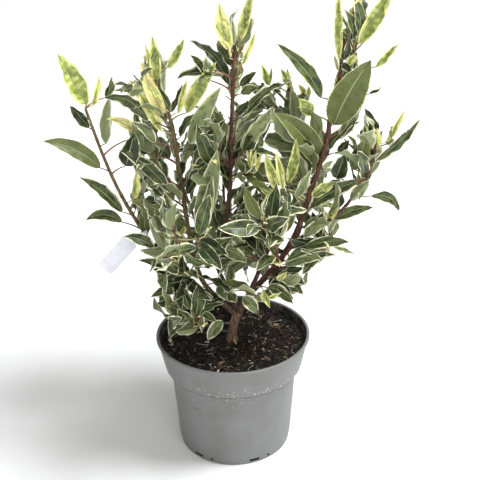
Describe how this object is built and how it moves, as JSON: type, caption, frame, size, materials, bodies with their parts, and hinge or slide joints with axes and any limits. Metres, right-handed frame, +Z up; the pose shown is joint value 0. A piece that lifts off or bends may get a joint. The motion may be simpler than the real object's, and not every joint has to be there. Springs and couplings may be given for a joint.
{
  "type": "potted variegated portuguese laurel",
  "caption": "Variegated Portuguese laurel shrub: one short trunk forks into leafy stems of cream-edged green leaves, growing in a round grey nursery pot with a blank label.",
  "frame": {"origin": "centre of the pot's flat underside", "axes": "+Z up along the pot's axis, -Y towards the side the picture shows, +X to its right"},
  "size_m": [0.424, 0.292, 0.574],
  "materials": {
    "pot": "satin moulded plastic",
    "compost": "damp bark and peat",
    "bark": "thin bark, burgundy on young wood",
    "leaves": "leathery, half gloss, cream edged",
    "label": "white film"
  },
  "bodies": {
    "root": {"pot": "pot", "soil": "compost", "label": "label", "trunk": "bark", "bough_right": "bark", "bough_left_middle": "bark", "bough_centre": "bark", "bough_left": "bark", "bough_back_right": "bark", "bough_back_left": "bark", "bough_right_outer": "bark", "bough_back_centre": "bark", "bough_back_low": "bark", "bough_front_left": "bark", "bough_front_right": "bark", "bough_low_left": "bark", "foliage_tip_left": "leaves", "foliage_side_left": "leaves", "foliage_tip_left_middle": "leaves", "foliage_left_middle": "leaves", "foliage_tip_centre": "leaves", "foliage_centre": "leaves", "foliage_tip_back_right": "leaves", "foliage_tip_right": "leaves", "foliage_right": "leaves", "foliage_side_right": "leaves", "foliage_low_right": "leaves", "foliage_low_left": "leaves", "foliage_skirt_left": "leaves", "foliage_skirt_right": "leaves", "foliage_heart": "leaves", "foliage_back_left": "leaves", "foliage_back_centre": "leaves", "foliage_back_right": "leaves", "foliage_low_back": "leaves", "foliage_front_left": "leaves", "foliage_front_right": "leaves"}
  },
  "joints": []
}
